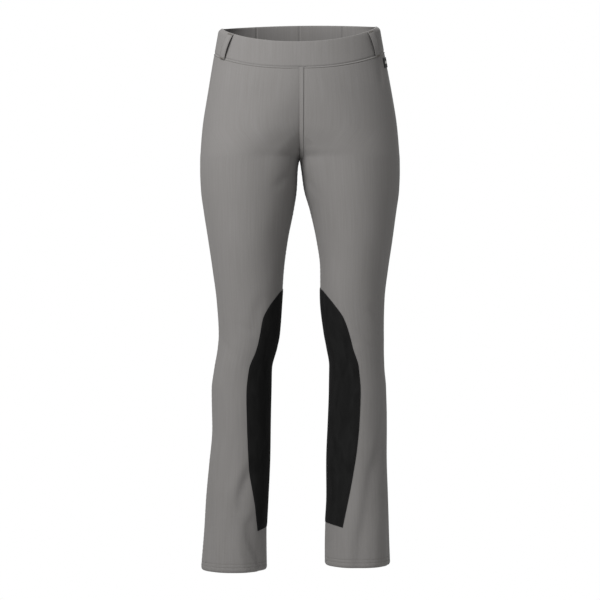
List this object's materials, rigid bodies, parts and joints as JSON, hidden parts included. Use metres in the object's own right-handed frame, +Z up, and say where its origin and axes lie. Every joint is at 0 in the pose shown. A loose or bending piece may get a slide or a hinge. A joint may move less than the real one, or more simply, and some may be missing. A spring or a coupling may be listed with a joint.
{
  "type": "riding breeches",
  "caption": "Pull-on riding breeches with boot-cut legs, a belt-looped waistband and suede grip patches round the inner legs, filled out as when worn.",
  "frame": {"origin": "the middle of the waist opening, level with its sides", "axes": "+Z up along the body, -Y the wearer's front, +X the wearer's left"},
  "size_m": [0.3797, 0.2413, 1.0433],
  "materials": {
    "stretch_cloth": "matt grey stretch cloth with fine cords down it",
    "grip_suede": "matt black synthetic suede",
    "label_tape": "black woven tape"
  },
  "bodies": {
    "root": {"waistband_front": "stretch_cloth", "waistband_side_right": "stretch_cloth", "waistband_side_left": "stretch_cloth", "waistband_back_right": "stretch_cloth", "waistband_back_left": "stretch_cloth", "front_right": "stretch_cloth", "front_left": "stretch_cloth", "back_right": "stretch_cloth", "back_left": "stretch_cloth", "patch_right": "grip_suede", "patch_left": "grip_suede", "belt_loop_right": "stretch_cloth", "belt_loop_left": "stretch_cloth", "belt_loop_back": "stretch_cloth", "label": "label_tape"}
  },
  "joints": []
}
